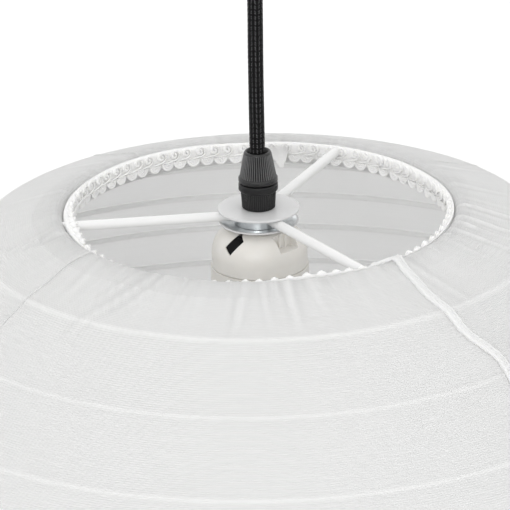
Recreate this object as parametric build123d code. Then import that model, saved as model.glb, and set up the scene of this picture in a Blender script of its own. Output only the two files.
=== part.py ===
from build123d import *
import math
import os

# A globe pendant shade of white cloth over loose steel hoops, hung from the ceiling on its cord.
# Millimetres, +Z up. The origin is the middle of the ceiling plate's top face, where it meets the
# ceiling. Heights named *_DROP are measured down from the plane of the top ring.

# --- driving dimensions: shade ---
RING_Z = -170.0            # plane of the top ring and of the spider's arms
RING_RADIUS = 82.0         # centreline of the top and bottom rings
RING_WIRE = 4.0            # diameter of the ring wire
HOOP_WIRE = 2.4            # diameter of the hoop wire
HALF_HEIGHT = 207.0        # top ring down to the equator hoop
EQUATOR_RADIUS = 225.0
# radius and drop of each hoop between the top ring and the equator, top to bottom
UPPER_HOOPS = ((113.0, 9.0), (137.0, 30.5), (161.5, 53.5), (180.0, 75.5), (195.5, 98.0),
               (210.0, 129.0), (220.5, 165.0))
BINDING = 0.5              # tape wound round each ring
CLOTH = 0.5
CLEARANCE = 0.3            # cloth to wire
GORES = 4
FIRST_SEAM = 37.0          # degrees from +X to the first seam
GIMP_THICKNESS = 1.6
GIMP_HEIGHT = 10.5
GIMP_RISE = 2.0            # top edge of the braid above the ring plane

# --- driving dimensions: spider and clamp discs ---
ARM_ROD = 4.0
ARM_ANGLES = (187.0, 65.0, 302.0)      # welded by hand, so not quite even
HUB_RADIUS = 10.0
HUB_DROP = 3.0             # underside of the hub below the arm plane
DISC_RADIUS = 16.5
DISC_THICKNESS = 1.0
DISH_RADIUS = 15.8
DISH_SHEET = 0.8
DISH_FLAT = 10.5           # radius of the dish's flat middle
RIM_DROP = 2.3             # top of the dish's rim below the arm plane
SWIVEL_GAP = 0.15          # disc to hub and dish to hub, so that the shade can turn

# --- driving dimensions: tube, cord grip and cord ---
TUBE_RADIUS = 4.9
TUBE_BORE = 3.7
TUBE_TOP = 11.5
TUBE_DROP = 11.5
TUBE_HOLE = 5.1            # hole for the tube in discs and hub
CORD_RADIUS = 3.1
CORD_START = 4.0           # lower end of the cord, inside the tube
COLLAR_TOP = 13.8
COLLAR_LIP = 3.4           # height of the collar's lip
NUT_GAP = 0.5              # groove between the collar and the nut
NUT_TOP = 27.2
NUT_MOUTH = 3.5            # hole that the cord leaves by

# --- driving dimensions: lamp holder ---
CAP_TOP = 3.95
CAP_RADIUS = 19.3
CAP_WALL = 1.3
PARTING = 21.0             # where the skirt starts
SLOT_ANGLE = 231.0         # catch slot in the cap's shoulder
POCKET_ANGLE = 313.0       # blind pocket in the cap's shoulder
SKIRT_RADIUS = 19.8
SKIRT_END = 53.0
CORE_RADIUS = 16.8
CORE_TOP = 14.5
CORE_END = 27.0
SLEEVE_BORE = 13.3         # for the lamp's screw cap
SLEEVE_SHEET = 0.5
SLEEVE_END = 50.0

# --- driving dimensions: ceiling fitting ---
PLATE_RADIUS = 40.0
PLATE_SHEET = 1.5
PLATE_HOLES = 60.0         # between the two mounting holes
PLATE_HOLE_RADIUS = 2.25
CUP_RADIUS = 46.0
CUP_BASE_RADIUS = 30.0
CUP_HEIGHT = 50.0
CUP_WALL = 2.0
BUSH_RADIUS = 8.0
ANCHOR = (22.0, 16.0, 14.0)
CORD_END = -6.5            # upper end of the cord, inside the anchor block
ANCHOR_PLAY = 0.35         # round the cord in the anchor block


def at(drop):
    """Height of something that far below the top ring's plane."""
    return RING_Z - drop


def save(shape, node):
    export_step(shape, f"parts/{node}.step")


def turned(points, arc=360.0):
    """Solid turned about +Z from a closed outline of (radius, height) points."""
    outline = Polyline(*[(r, 0, z) for r, z in points], close=True)
    return revolve(make_face(outline), axis=Axis.Z, revolution_arc=arc)


def disc(radius, low, high):
    return Pos(0, 0, low) * Cylinder(radius, high - low, align=(Align.CENTER, Align.CENTER, Align.MIN))


def pipe(outer, inner, low, high):
    return disc(outer, low, high) - disc(inner, low - 1, high + 1)


def block(size, centre):
    return Pos(*centre) * Box(*size)


def rod(radius, start, end):
    """Round rod between two points."""
    run = Vector(*end) - Vector(*start)
    plane = Plane(origin=start, z_dir=run)
    return plane * Cylinder(radius, run.length, align=(Align.CENTER, Align.CENTER, Align.MIN))


def fused(shapes):
    whole = shapes[0]
    for shape in shapes[1:]:
        whole = whole + shape
    return whole


# ---------------------------------------------------------------- hoops and cloth

def hoop_places():
    """(radius, drop) of every hoop, top to bottom: the lower half mirrors the upper one."""
    upper = list(UPPER_HOOPS)
    lower = [(radius, 2 * HALF_HEIGHT - drop) for radius, drop in reversed(upper)]
    return upper + [(EQUATOR_RADIUS, HALF_HEIGHT)] + lower


def wire_ring(radius, drop, wire):
    return Pos(0, 0, at(drop)) * Torus(radius, wire / 2)


def around_ring(reach, angles):
    """Points that far from the top ring's wire centre, at those angles in the meridian plane."""
    return [(RING_RADIUS + reach * math.cos(math.radians(a)), reach * math.sin(math.radians(a)))
            for a in angles]


def meridian(reach_ring, reach_hoop):
    """Upper half of the cloth's section as (radius, height over the ring plane), inside to equator."""
    line = around_ring(reach_ring, (215, 180, 145, 110, 75))
    spots = [(RING_RADIUS, 0.0)] + [(r, -d) for r, d in UPPER_HOOPS] + [(EQUATOR_RADIUS, -HALF_HEIGHT)]
    for before, here, after in zip(spots, spots[1:], spots[2:]):
        slope = (after[0] - before[0], after[1] - before[1])
        size = math.hypot(*slope)
        line.append((here[0] - reach_hoop * slope[1] / size, here[1] + reach_hoop * slope[0] / size))
    line.append((EQUATOR_RADIUS + reach_hoop, -HALF_HEIGHT))
    return line


def cloth_line(reach_ring, reach_hoop):
    """Whole section line of the cloth at its real heights, from the top opening to the bottom one."""
    upper = meridian(reach_ring, reach_hoop)
    lower = [(r, -2 * HALF_HEIGHT - z) for r, z in reversed(upper[:-1])]
    return [(r, RING_Z + z) for r, z in upper + lower]


def gore(index, cutters):
    """One cloth panel, a quarter of the turned shell, notched where the spider's arms pass."""
    inner = cloth_line(RING_WIRE / 2 + BINDING + CLEARANCE, HOOP_WIRE / 2 + CLEARANCE)
    outer = cloth_line(RING_WIRE / 2 + BINDING + CLEARANCE + CLOTH, HOOP_WIRE / 2 + CLEARANCE + CLOTH)
    sweep_angle = 360.0 / GORES
    panel = turned(inner + outer[::-1], sweep_angle)
    panel = Rot(0, 0, FIRST_SEAM + index * sweep_angle) * panel
    return panel - cutters


def gimp(top, cutters=None):
    """Flat braid glued inside a ring's opening."""
    outside = RING_RADIUS - RING_WIRE / 2 - BINDING - CLEARANCE - CLOTH - 0.1
    band = pipe(outside, outside - GIMP_THICKNESS, top - GIMP_HEIGHT, top)
    return band - cutters if cutters else band


def binding(drop, cutters=None):
    """Tape wound round a ring: a tube with the ring's wire inside it."""
    tape = wire_ring(RING_RADIUS, drop, RING_WIRE + 2 * BINDING) - wire_ring(RING_RADIUS, drop, RING_WIRE)
    return tape - cutters if cutters else tape


def build_shade():
    arms = [rod(ARM_ROD / 2, (0, 0, RING_Z), arm_end(angle)) for angle in ARM_ANGLES]
    ring = wire_ring(RING_RADIUS, 0, RING_WIRE)
    hub = pipe(HUB_RADIUS, TUBE_HOLE, at(HUB_DROP), at(-ARM_ROD / 2))
    hub_space = disc(HUB_RADIUS, at(HUB_DROP), at(-ARM_ROD / 2))
    save(ring, "top_ring")
    save(hub, "spider_hub")
    save(Compound(children=[arm - ring - hub_space for arm in arms]), "spider_arms")
    notches = fused([rod(ARM_ROD / 2 + CLEARANCE, (0, 0, RING_Z), arm_end(a)) for a in ARM_ANGLES])
    save(binding(0, notches), "top_binding")
    save(gimp(at(-GIMP_RISE), notches), "top_gimp")
    for index in range(GORES):
        save(gore(index, notches), f"cloth_gore_{index + 1}")
    for index, (radius, drop) in enumerate(hoop_places()):
        save(wire_ring(radius, drop, HOOP_WIRE), f"hoop_{index + 1:02d}")
    bottom = 2 * HALF_HEIGHT
    save(wire_ring(RING_RADIUS, bottom, RING_WIRE), "bottom_ring")
    save(binding(bottom), "bottom_binding")
    save(gimp(at(bottom) + GIMP_HEIGHT - GIMP_RISE), "bottom_gimp")


def arm_end(angle):
    turn = math.radians(angle)
    return (RING_RADIUS * math.cos(turn), RING_RADIUS * math.sin(turn), RING_Z)


# ---------------------------------------------------------------- clamp discs, tube and cord grip

def build_clamp():
    low = at(-ARM_ROD / 2) + SWIVEL_GAP
    save(pipe(DISC_RADIUS, TUBE_HOLE, low, low + DISC_THICKNESS), "upper_disc")
    flat = at(HUB_DROP) - SWIVEL_GAP
    rim = at(RIM_DROP)
    dish = turned([(TUBE_HOLE, flat - DISH_SHEET), (DISH_FLAT, flat - DISH_SHEET),
                   (DISH_RADIUS, rim - DISH_SHEET), (DISH_RADIUS, rim), (DISH_FLAT, flat),
                   (TUBE_HOLE, flat)])
    save(dish, "lower_dish")
    save(pipe(TUBE_RADIUS, TUBE_BORE, at(TUBE_DROP), at(-TUBE_TOP)), "threaded_tube")


def build_grip():
    foot = at(-ARM_ROD / 2) + SWIVEL_GAP + DISC_THICKNESS
    top = at(-COLLAR_TOP)
    collar = turned([(5.0, foot), (6.5, foot), (6.8, foot + 0.5), (7.1, top - COLLAR_LIP),
                     (7.9, top - COLLAR_LIP + 0.5), (7.9, top), (5.0, top)])
    save(collar, "grip_collar")
    nut_foot = top + NUT_GAP
    nut_top = at(-NUT_TOP)
    nut = turned([(5.4, nut_foot), (7.8, nut_foot), (7.8, nut_foot + 1.9), (7.35, nut_foot + 2.3),
                  (5.2, nut_top - 0.7), (4.8, nut_top), (4.2, nut_top), (NUT_MOUTH, nut_top - 2.2),
                  (NUT_MOUTH, nut_top - 4.0), (5.0, nut_top - 7.0)])
    save(nut, "grip_nut")
    insert = turned([(3.2, nut_foot + 0.6), (4.6, nut_foot + 0.6), (4.6, nut_top - 7.6),
                     (3.4, nut_top - 4.8), (3.2, nut_top - 4.8)])
    slot = block((0.6, 12.0, 6.0), (0, 0, nut_top - 7.4))
    save(insert - slot, "grip_insert")


# ---------------------------------------------------------------- cord

# The cord hangs taut from the anchor block, a little uneven.
CORD_ROUTE = ((0.0, 0.0, at(-CORD_START)),
              (-0.2, 0.0, at(-52.0)),
              (0.5, 0.2, at(-104.0)),
              (0.0, 0.0, CORD_END))


def bend_radii(points):
    """Largest arc at each inner point: 0.45 of the shorter run over the tangent of half the turn."""
    radii = []
    for before, here, after in zip(points, points[1:], points[2:]):
        run_in = Vector(*here) - Vector(*before)
        run_out = Vector(*after) - Vector(*here)
        half_turn = math.radians(run_in.get_angle(run_out)) / 2
        radii.append(0.45 * min(run_in.length, run_out.length) / math.tan(half_turn))
    return radii


def build_cord():
    radii = bend_radii(CORD_ROUTE)
    path = FilletPolyline(*CORD_ROUTE, radius=radii)
    section = Plane(origin=path @ 0, z_dir=path % 0) * Circle(CORD_RADIUS)
    cord = sweep(section, path=path)
    print("cord bend radii (mm):", [round(r) for r in radii])
    print("cord length (mm):", round(path.length, 1), "volume over section x length:",
          round(cord.volume / (math.pi * CORD_RADIUS ** 2 * path.length), 4))
    save(cord, "cord")


# ---------------------------------------------------------------- lamp holder

def cap_outline(radius, top):
    """Outer edge of the dome as a face outline in the meridian plane, down to the parting line."""
    dome = ThreePointArc((9.0, 0, at(top)), (radius * 0.875, 0, at(top + 4.6)), (radius, 0, at(top + 13.0)))
    wall = Line((radius, 0, at(top + 13.0)), (radius, 0, at(PARTING)))
    close = Polyline((radius, 0, at(PARTING)), (0, 0, at(PARTING)), (0, 0, at(top)), (9.0, 0, at(top)))
    return make_face([dome, wall, close])


def holder_cap():
    outside = revolve(cap_outline(CAP_RADIUS, CAP_TOP), axis=Axis.Z)
    inside = revolve(cap_outline(CAP_RADIUS - CAP_WALL, CAP_TOP + 2.2), axis=Axis.Z)
    spigot = pipe(18.0, CAP_RADIUS - CAP_WALL - 0.4, at(28.0), at(PARTING - 1.5))
    cap = outside - inside + spigot
    cap = cap - disc(TUBE_HOLE, at(TUBE_DROP), at(CAP_TOP - 1))
    slot = Rot(0, 0, SLOT_ANGLE) * Pos(15.0, 0, at(8.2)) * Rot(-35, 0, 0) * Box(16.0, 4.2, 6.8)
    pocket_wall = Rot(0, 0, POCKET_ANGLE) * Pos(16.0, 0, at(8.1)) * Box(8.4, 12.0, 10.0)
    pocket = Rot(0, 0, POCKET_ANGLE) * Pos(17.8, 0, at(7.0)) * Box(10.0, 9.8, 8.0)
    ribs = [Rot(0, 0, POCKET_ANGLE) * Pos(13.2, y, at(7.0)) * Box(1.2, 0.8, 8.0) for y in (-1.6, 1.6)]
    cap = cap - slot + (outside & pocket_wall)
    return cap - pocket + (outside & ribs[0]) + (outside & ribs[1])


def build_holder():
    save(holder_cap(), "holder_cap")
    nut_top = CAP_TOP + 2.2
    lock_nut = extrude(Pos(0, 0, at(nut_top + 3.0)) * RegularPolygon(8.5, 6), 3.0) - disc(4.95, at(20), at(0))
    save(lock_nut, "lock_nut")
    core = disc(CORE_RADIUS - 0.2, at(CORE_END), at(CORE_TOP)) - disc(12.0, at(CORE_END), at(CORE_END - 3.0))
    screw_holes = [Pos(x, 0, 0) * disc(2.1, at(CORE_TOP + 7.0), at(CORE_TOP)) for x in (-11.0, 11.0)]
    save(core - screw_holes[0] - screw_holes[1], "holder_core")
    screws = [Pos(x, 0, 0) * (disc(2.0, at(CORE_TOP + 6.5), at(CORE_TOP + 2.0))
                              - Pos(0, 0, at(CORE_TOP + 2.0)) * Box(5.0, 0.6, 1.0)) for x in (-11.0, 11.0)]
    save(Compound(children=screws), "terminal_screws")
    wires = [Pos(0, y, 0) * disc(1.1, at(CORE_TOP), at(-CORD_START)) for y in (-1.5, 1.5)]
    save(Compound(children=wires), "holder_wires")
    seat = CORE_END - 3.0
    spring = turned([(0, at(seat + 2.4)), (2.5, at(seat + 2.4)), (3.4, at(seat)), (0, at(seat))])
    save(spring, "centre_contact")
    beside_sleeve = SLEEVE_BORE + SLEEVE_SHEET + 0.35
    save(block((3.0, 0.5, 9.0), (0, beside_sleeve, at(CORE_END + 4.5))), "side_contact")
    sleeve = pipe(SLEEVE_BORE + SLEEVE_SHEET, SLEEVE_BORE, at(SLEEVE_END), at(CORE_END))
    save(sleeve, "thread_sleeve")
    skirt = turned([(18.3, at(PARTING + 0.2)), (SKIRT_RADIUS, at(PARTING + 0.2)), (SKIRT_RADIUS, at(42.0)),
                    (19.0, at(SKIRT_END)), (15.4, at(SKIRT_END)), (15.4, at(SKIRT_END - 1.6)),
                    (17.4, at(SKIRT_END - 1.6)), (18.3, at(41.0))])
    save(skirt, "holder_skirt")


# ---------------------------------------------------------------- ceiling fitting

def build_ceiling():
    plate = disc(PLATE_RADIUS, -PLATE_SHEET, 0)
    for x in (-PLATE_HOLES / 2, PLATE_HOLES / 2):
        plate = plate - Pos(x, 0, 0) * disc(PLATE_HOLE_RADIUS, -2 * PLATE_SHEET, PLATE_SHEET)
    save(plate, "ceiling_plate")
    under = -PLATE_SHEET
    width, depth, height = ANCHOR
    anchor = block(ANCHOR, (0, 0, under - height / 2)) - disc(CORD_RADIUS + ANCHOR_PLAY, under - height, CORD_END)
    screw_spots = [(x, 0) for x in (-7.5, 7.5)]
    for x, y in screw_spots:
        anchor = anchor - Pos(x, y, 0) * disc(1.55, under - height, under - 4.0)
    save(anchor, "anchor_block")
    screws = [Pos(x, y, 0) * (disc(1.5, under - height, under - 4.5) + disc(2.6, under - height - 1.8, under - height))
              for x, y in screw_spots]
    save(Compound(children=screws), "anchor_screws")
    block_size = (20.0, 11.0, 12.0)
    block_y = 21.5
    terminal = block(block_size, (0, block_y, under - block_size[2] / 2))
    for x in (-5.0, 5.0):
        terminal = terminal - Pos(x, block_y, 0) * disc(1.9, under - block_size[2], under - 5.0)
    save(terminal, "terminal_block")
    grubs = [Pos(x, block_y, 0) * disc(1.8, under - block_size[2] + 1.0, under - 5.5) for x in (-5.0, 5.0)]
    save(Compound(children=grubs), "block_screws")
    leads = [rod(1.1, (x, depth / 2, under - 8.0), (x, block_y - block_size[1] / 2, under - 8.0))
             for x in (-4.0, 4.0)]
    save(Compound(children=leads), "ceiling_leads")


def build_cup():
    floor = -CUP_HEIGHT
    cup = turned([(CUP_RADIUS, -0.5), (CUP_RADIUS, -14.0), (CUP_BASE_RADIUS + 5.0, floor + 3.0),
                  (CUP_BASE_RADIUS, floor), (BUSH_RADIUS - 1.4, floor), (BUSH_RADIUS - 1.4, floor + CUP_WALL),
                  (CUP_BASE_RADIUS - 1.0, floor + CUP_WALL), (CUP_BASE_RADIUS + 3.4, floor + 4.6),
                  (CUP_RADIUS - CUP_WALL, -14.6), (CUP_RADIUS - CUP_WALL, -0.5)])
    save(cup, "ceiling_cup")
    bush = turned([(3.6, floor - 4.0), (5.0, floor - 4.0), (BUSH_RADIUS, floor - 1.0), (BUSH_RADIUS, floor),
                   (BUSH_RADIUS - 1.4, floor), (BUSH_RADIUS - 1.4, floor + 8.0), (3.6, floor + 8.0)])
    bush = bush - rod(1.0, (0, 0, floor + 5.0), (10.0, 0, floor + 5.0))
    save(bush, "cup_bush")
    save(rod(1.0, (3.7, 0, floor + 5.0), (7.6, 0, floor + 5.0)), "bush_screw")


def main():
    os.makedirs("parts", exist_ok=True)
    build_shade()
    build_clamp()
    build_grip()
    build_cord()
    build_holder()
    build_ceiling()
    build_cup()


main()
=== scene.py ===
import math
import random

import bmesh
import bpy
from mathutils import Matrix, Vector, noise


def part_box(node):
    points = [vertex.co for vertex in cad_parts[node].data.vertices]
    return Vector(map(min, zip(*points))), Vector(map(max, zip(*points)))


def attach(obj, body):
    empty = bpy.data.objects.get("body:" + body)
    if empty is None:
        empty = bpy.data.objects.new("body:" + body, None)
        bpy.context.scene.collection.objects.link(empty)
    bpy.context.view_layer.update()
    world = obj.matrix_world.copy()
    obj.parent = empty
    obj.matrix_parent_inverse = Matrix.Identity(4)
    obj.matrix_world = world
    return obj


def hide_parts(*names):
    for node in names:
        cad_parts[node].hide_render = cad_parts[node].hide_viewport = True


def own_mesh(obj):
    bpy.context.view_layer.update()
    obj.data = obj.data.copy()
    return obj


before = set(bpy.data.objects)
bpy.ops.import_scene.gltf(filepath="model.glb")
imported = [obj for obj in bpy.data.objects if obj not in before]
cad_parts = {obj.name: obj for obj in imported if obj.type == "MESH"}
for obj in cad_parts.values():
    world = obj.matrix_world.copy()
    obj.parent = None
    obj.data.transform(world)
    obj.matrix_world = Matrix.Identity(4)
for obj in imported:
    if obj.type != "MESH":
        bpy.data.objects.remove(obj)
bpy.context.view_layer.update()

# A white cloth globe pendant on its spider, cord grip and lamp holder. Meshes are made in
# millimetres and scaled to metres when they become pieces. Angles round the lamp are degrees
# from +X, and the camera looks along +Y.

MM = 0.001

# --- cloth ---
GORES = 4
FIRST_SEAM = 37.0
CLOTH = 0.5                # thickness
GAP = 0.55                 # middle of the cloth to the wire's surface
RING_GAP = 1.05            # the same at the rings, which are wound with tape
AROUND = 190               # faces round one gore
RUN_FACES = 7              # faces from one hoop to the next
CREASE = 1.3               # from a hoop to the face edge beside it
CURL_END = 10              # point of the section where its curl round the ring ends
HEM_TAIL = 6.0             # cloth glued down inside the ring, behind the braid
HEM_WIDTH = 8.4            # turned-in cloth outside the ring, painted as a greyer band of shade where its second layer blocks the light
# each seam strays from its place: (length down from the top ring, degrees), top to bottom
SEAM_DRIFT = (((0.0, 0.0), (90.0, 1.0), (230.0, 0.0)),
              ((0.0, 1.0), (60.0, -1.0), (230.0, 0.0)),
              ((0.0, -2.2), (8.0, -3.0), (24.0, -1.0), (36.0, -0.6), (46.0, -1.6), (120.0, 0.0)),
              ((-5.0, -4.0), (0.0, 3.8), (10.0, 2.4), (26.0, 1.4), (42.0, 2.4), (62.0, 6.2), (110.0, 5.0),
               (230.0, 0.0)))
SEAM_LUMP = 0.35           # how far the bulky seam stands up where it crosses the ring
# radius of the rolled seam at each panel edge: one is bulky, the others lie flat
SEAM_ROLLS = (0.4, 0.4, 0.42, 1.45)
SEAM_STEP = 0.9            # between the points that a seam's threads follow
STITCH = 0.2               # radius of the overlocking thread
GATHER_START = 4.0         # how far inside the ring the gathers begin
# azimuth, half width, length down from the ring, height and lean of the larger gathers
PLEATS = ((198.6, 1.0, 22.0, 2.2, -0.18), (193.0, 1.2, 20.0, 0.6, 0.1),
          (222.0, 1.5, 26.0, 0.6, 0.1), (236.0, 1.1, 30.0, 0.9, -0.2),
          (240.5, 1.4, 46.0, 1.0, -0.22), (244.0, 1.1, 30.0, 0.7, -0.2), (252.0, 1.2, 24.0, 0.5, -0.1),
          (266.0, 1.2, 34.0, 1.0, -0.05), (270.5, 1.0, 26.0, 0.7, 0.05), (277.0, 1.3, 30.0, 0.9, 0.02),
          (283.0, 1.2, 24.0, 0.6, 0.06), (312.0, 1.6, 40.0, 0.8, 0.1), (331.0, 1.2, 26.0, 0.5, 0.1),
          (339.0, 1.1, 34.0, 0.9, 0.08), (344.0, 1.0, 30.0, 0.8, 0.08), (348.5, 1.2, 38.0, 1.2, 0.06),
          (354.0, 1.0, 24.0, 0.7, 0.05), (357.5, 1.2, 40.0, 1.3, 0.04), (4.0, 1.2, 26.0, 0.6, 0.0),
          (14.0, 1.3, 30.0, 0.7, 0.0), (31.0, 1.3, 32.0, 1.0, 0.0), (58.0, 1.3, 28.0, 0.7, 0.0),
          (84.0, 1.2, 30.0, 0.8, 0.0), (103.0, 1.4, 26.0, 0.7, 0.0), (139.0, 1.2, 30.0, 0.9, 0.0),
          (164.0, 1.2, 26.0, 0.8, 0.0))

# --- braid glued in the openings ---
SCALLOP = 6.2              # from one scroll to the next
BRAID_HEIGHT = 9.2         # over the scrolls
BRAID_LIFT = 0.9           # scrolls above the top edge of the CAD band
BRAID_THICKNESS = 1.5
SCROLL_SIZE = 1.72         # radius that a scroll's thread is coiled on
SCROLL_THREAD = 0.98       # radius of that thread
LOOP_DROP = 2.6            # how far the loops hang below the band
BRAID_FLATTENED = 0.68     # depth of the scrolls and loops as a share of round ones
BRAID_END = 83.5           # round the lamp, to the braid's loose end
BRAID_END_SIDE = 8.2       # width and length of that end
# where the braid was set unevenly: azimuth, spread in degrees, how far in and how far up
BRAID_STRAYS = ((190.0, 16.0, 2.6, 0.2), (285.0, 15.0, 0.2, 1.5), (128.0, 26.0, 0.2, 0.5),
                (28.0, 16.0, 0.8, -0.4), (346.0, 12.0, 0.5, 0.3), (96.0, 10.0, 0.1, -0.4),
                (232.0, 27.0, 0.0, -1.5))

# --- black catch in the slot of the holder's cap ---
CATCH_ANGLE = 231.0        # round the lamp, to the slot
CATCH_OUT = 15.0           # from the lamp's middle
CATCH_DOWN = 4.25          # below the cap's crown
CATCH_LEAN = -35.0
CATCH_INSET = 0.35         # below the cap's surface
# its flat sides: axis and place along that axis
CATCH_SIDES = ((0, 8.0), (0, -2.2), (1, 2.05), (1, -2.05), (2, 3.35), (2, -3.35))

# --- cord, as part.py routes it ---
CORD_ROUTE = ((0.0, 0.0, -0.166), (-0.0002, 0.0, -0.118), (0.0005, 0.0002, -0.066), (0.0, 0.0, -0.0065))
CORD_DIAMETER = 0.0062
CARRIERS = 12              # strands each way in the braid
COLUMNS = 12               # upright columns of stitches round the cord
BRAID_LEAD = 26.0          # height of one turn of a strand
YARN = 0.3                 # radius of one strand
YARN_STEP = 0.75           # between the points that a strand follows
YARN_LIFT = 0.18           # how far a strand rises and falls as it passes over and under

# --- camera: where it aims, how far off, and how it is turned ---
AIM = (-0.0019, 0.0, -0.1877)
CAMERA_DISTANCE = 1.853
CAMERA_HEIGHT_ANGLE = 21.64
CAMERA_ROLL = 1.25
LENS = 324.0


# ---------------------------------------------------------------- helpers for meshes

def box_mm(node):
    low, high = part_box(node)
    return low / MM, high / MM


def rounded(outline, radius, segments=3):
    """The closed outline with each corner turned into a short curve."""
    soft = []
    for before, here, after in zip(outline[-1:] + outline[:-1], outline, outline[1:] + outline[:1]):
        corner = Vector(here)
        back = Vector(before) - corner
        ahead = Vector(after) - corner
        reach = min(radius, back.length * 0.45, ahead.length * 0.45)
        start = corner + back.normalized() * reach
        end = corner + ahead.normalized() * reach
        for step in range(segments + 1):
            t = step / segments
            soft.append(tuple(start * (1 - t) ** 2 + corner * 2 * t * (1 - t) + end * t * t))
    return soft


def spin_outline(bm, points, steps, angle=360.0, closed=True):
    """Turns a line of (radius, height) points round +Z."""
    verts = [bm.verts.new((r, 0, z)) for r, z in points]
    edges = [bm.edges.new(pair) for pair in zip(verts, verts[1:])]
    if closed:
        edges.append(bm.edges.new((verts[-1], verts[0])))
    bmesh.ops.spin(bm, geom=verts + edges, cent=(0, 0, 0), axis=(0, 0, 1), dvec=(0, 0, 0),
                   angle=math.radians(angle), steps=steps, use_merge=angle == 360.0, use_duplicate=False)


def settle(bm):
    """Merges doubles and turns the faces outwards."""
    bmesh.ops.remove_doubles(bm, verts=bm.verts, dist=0.002)
    bmesh.ops.recalc_face_normals(bm, faces=bm.faces)


def turned(outline, steps=96, soft=0.3):
    """Closed body turned from a (radius, height) outline with softened corners."""
    bm = bmesh.new()
    spin_outline(bm, rounded(outline, soft), steps)
    settle(bm)
    return bm


def tube_along(points, radius, sides=6, closed=False):
    """Mesh of a round tube that follows the points."""
    curve = bpy.data.curves.new("tube", "CURVE")
    curve.dimensions = "3D"
    curve.bevel_depth = radius
    curve.bevel_resolution = max(0, sides // 2 - 1)
    curve.use_fill_caps = True
    spline = curve.splines.new("POLY")
    spline.points.add(len(points) - 1)
    for place, point in zip(spline.points, points):
        place.co = (*point, 1.0)
    spline.use_cyclic_u = closed
    holder = bpy.data.objects.new("tube", curve)
    mesh = bpy.data.meshes.new_from_object(holder)
    bpy.data.objects.remove(holder)
    bpy.data.curves.remove(curve)
    return mesh


def add_mesh(bm, mesh, transform=None):
    """Adds the mesh to the bmesh, moved by the transform, and drops it."""
    if transform is not None:
        mesh.transform(transform)
    bm.from_mesh(mesh)
    bpy.data.meshes.remove(mesh)


def piece(name, bm, body, material, replaces=(), sharp=35.0):
    """Makes the finished millimetre bmesh a piece that rides on that body."""
    bmesh.ops.scale(bm, vec=(MM, MM, MM), verts=bm.verts)
    mesh = bpy.data.meshes.new(name)
    bm.to_mesh(mesh)
    bm.free()
    for each in material if isinstance(material, list) else [material]:
        mesh.materials.append(each)
    mesh.shade_smooth()
    mesh.set_sharp_from_angle(angle=math.radians(sharp))
    made = bpy.data.objects.new(name, mesh)
    bpy.context.scene.collection.objects.link(made)
    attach(made, body)
    if replaces:
        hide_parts(*replaces)
    return made


def on_circle(radius, degrees, height):
    turn = math.radians(degrees)
    return Vector((radius * math.cos(turn), radius * math.sin(turn), height))


def degrees_apart(first, second):
    return (first - second + 180.0) % 360.0 - 180.0


# ---------------------------------------------------------------- helpers for materials

def join(tree, value, socket):
    if isinstance(value, bpy.types.NodeSocket):
        tree.links.new(value, socket)
    else:
        socket.default_value = value


def add(tree, kind, inputs=None, **settings):
    """A node with its settings; an input is a value or another node's output."""
    made = tree.nodes.new(kind)
    for key, value in settings.items():
        setattr(made, key, value)
    for key, value in (inputs or {}).items():
        join(tree, value, made.inputs[key])
    return made


def maths(tree, operation, first, second=0.0):
    return add(tree, "ShaderNodeMath", {0: first, 1: second}, operation=operation).outputs[0]


def blend_colour(tree, share, first, second):
    """A colour between two, by a share from 0 to 1."""
    mixed = add(tree, "ShaderNodeMix", {0: share, 6: first, 7: second}, data_type="RGBA")
    return mixed.outputs[2]


def between(tree, value, low, high, to_low=0.0, to_high=1.0):
    ranged = add(tree, "ShaderNodeMapRange", {0: value, 1: low, 2: high, 3: to_low, 4: to_high})
    return ranged.outputs[0]


def grain(tree, where, scale, detail=3.0, rough=0.5):
    return add(tree, "ShaderNodeTexNoise", {"Vector": where, "Scale": scale, "Detail": detail,
                                            "Roughness": rough}).outputs[0]


def stretched(tree, where, scale):
    """Coordinates scaled differently along each axis."""
    return add(tree, "ShaderNodeMapping", {"Vector": where, "Scale": scale}).outputs[0]


def bump(tree, height, distance, strength=1.0):
    return add(tree, "ShaderNodeBump", {"Height": height, "Distance": distance,
                                        "Strength": strength}).outputs[0]


def wave(tree, value, pitch):
    """0 to 1 and back for every pitch of the value."""
    turns = maths(tree, "MULTIPLY", value, 2 * math.pi / pitch)
    sine = maths(tree, "SINE", turns)
    return between(tree, sine, -1.0, 1.0)


def start_material(name, roughness, metallic=0.0):
    material = bpy.data.materials.new(name)
    material.use_nodes = True
    tree = material.node_tree
    shader = tree.nodes["Principled BSDF"]
    shader.inputs["Roughness"].default_value = roughness
    shader.inputs["Metallic"].default_value = metallic
    where = add(tree, "ShaderNodeTexCoord").outputs["Object"]
    return material, tree, shader, where


def colour(red, green, blue):
    return (red, green, blue, 1.0)


# ---------------------------------------------------------------- materials

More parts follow.
